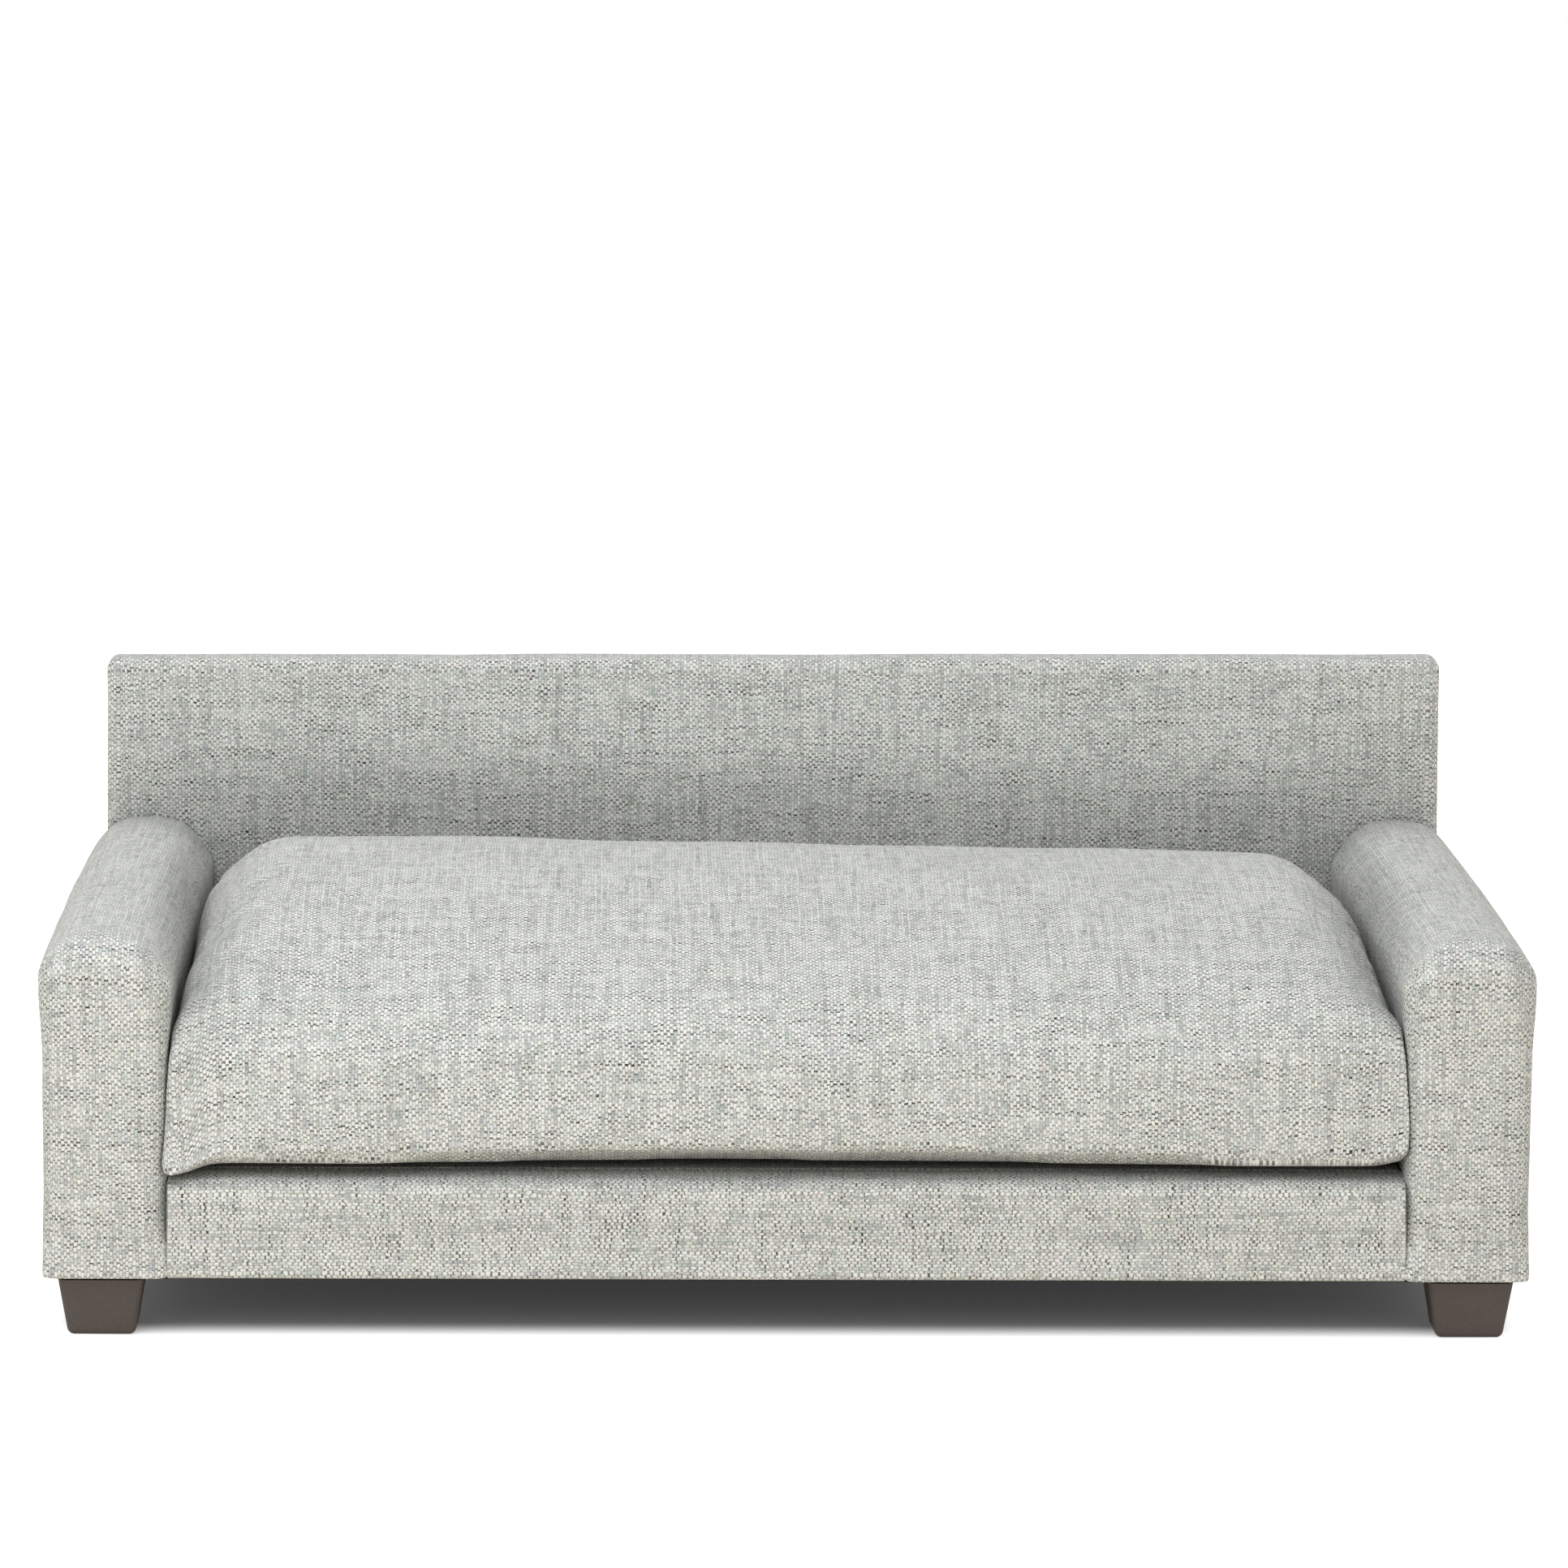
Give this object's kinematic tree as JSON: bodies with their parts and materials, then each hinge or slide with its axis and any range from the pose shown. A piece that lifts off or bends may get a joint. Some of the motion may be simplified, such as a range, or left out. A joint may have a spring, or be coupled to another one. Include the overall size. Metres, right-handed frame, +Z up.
{
  "type": "dog bed with frame",
  "caption": "Small upholstered dog sofa with padded arms, a flat back panel, a front rail, tapered feet and a loose zipped cushion that lifts out.",
  "frame": {"origin": "on the floor, under the middle of the bed", "axes": "+X to the right as the bed is seen from the front, +Y from front to back, +Z up"},
  "size_m": [0.8, 0.5, 0.304],
  "materials": {
    "upholstery_weave": "matte",
    "dust_cloth": "matte",
    "fibre_fill": "matte",
    "foam": "matte",
    "hardboard": "matte",
    "plywood": "matte",
    "pine": "matte",
    "foot_plastic": "matte",
    "zinc_steel": "satin",
    "zip_tape": "matte",
    "zip_coil": "satin",
    "zip_metal": "satin"
  },
  "bodies": {
    "frame": {"arm_bolt_washers": "zinc_steel", "arm_bolts": "zinc_steel", "arm_bottom_rail_left": "pine", "arm_bottom_rail_right": "pine", "arm_cover_left": "upholstery_weave", "arm_cover_right": "upholstery_weave", "arm_foam_left": "foam", "arm_foam_right": "foam", "arm_front_post_left": "pine", "arm_front_post_right": "pine", "arm_inner_panel_left": "hardboard", "arm_inner_panel_right": "hardboard", "arm_inserts": "zinc_steel", "arm_outer_panel_left": "hardboard", "arm_outer_panel_right": "hardboard", "arm_rear_post_left": "pine", "arm_rear_post_right": "pine", "arm_top_rail_left": "pine", "arm_top_rail_right": "pine", "back_board": "plywood", "back_bolt_washers": "zinc_steel", "back_bolts": "zinc_steel", "back_cover": "upholstery_weave", "back_foam": "foam", "back_tee_nuts": "zinc_steel", "centre_rail": "pine", "corner_brackets": "zinc_steel", "corner_screws": "zinc_steel", "deck_board": "plywood", "deck_cover": "upholstery_weave", "deck_screws": "zinc_steel", "dust_cover": "dust_cloth", "foot_bolts": "zinc_steel", "foot_front_left": "foot_plastic", "foot_front_right": "foot_plastic", "foot_rear_left": "foot_plastic", "foot_rear_right": "foot_plastic", "foot_tee_nuts": "zinc_steel", "front_rail_board": "pine", "front_rail_cover": "upholstery_weave", "front_rail_foam": "foam", "rear_rail": "pine", "side_rail_left": "pine", "side_rail_right": "pine"},
    "cushion": {"cushion_top_panel": "upholstery_weave", "cushion_bottom_panel": "upholstery_weave", "cushion_fibre_wrap": "fibre_fill", "cushion_foam_slab": "foam", "zip_tapes": "zip_tape", "zip_coil": "zip_coil", "zip_end_stops": "zip_coil"},
    "zip_slider": {"zip_slider": "zip_metal"},
    "zip_pull": {"zip_pull": "zip_metal"}
  },
  "joints": [
    {"name": "cushion_lift", "type": "slide", "parent": "frame", "child": "cushion", "axis": [0, 0, 1], "range_m": [0, 0.25]},
    {"name": "zip_run", "type": "slide", "parent": "cushion", "child": "zip_slider", "axis": [1, 0, 0], "range_m": [0, 0.39]},
    {"name": "zip_pull_turn", "type": "hinge", "parent": "zip_slider", "child": "zip_pull", "pos_m": [-0.195, 0.2103, 0.1262], "axis": [0, 0, 1], "range_deg": [0, 20]}
  ]
}
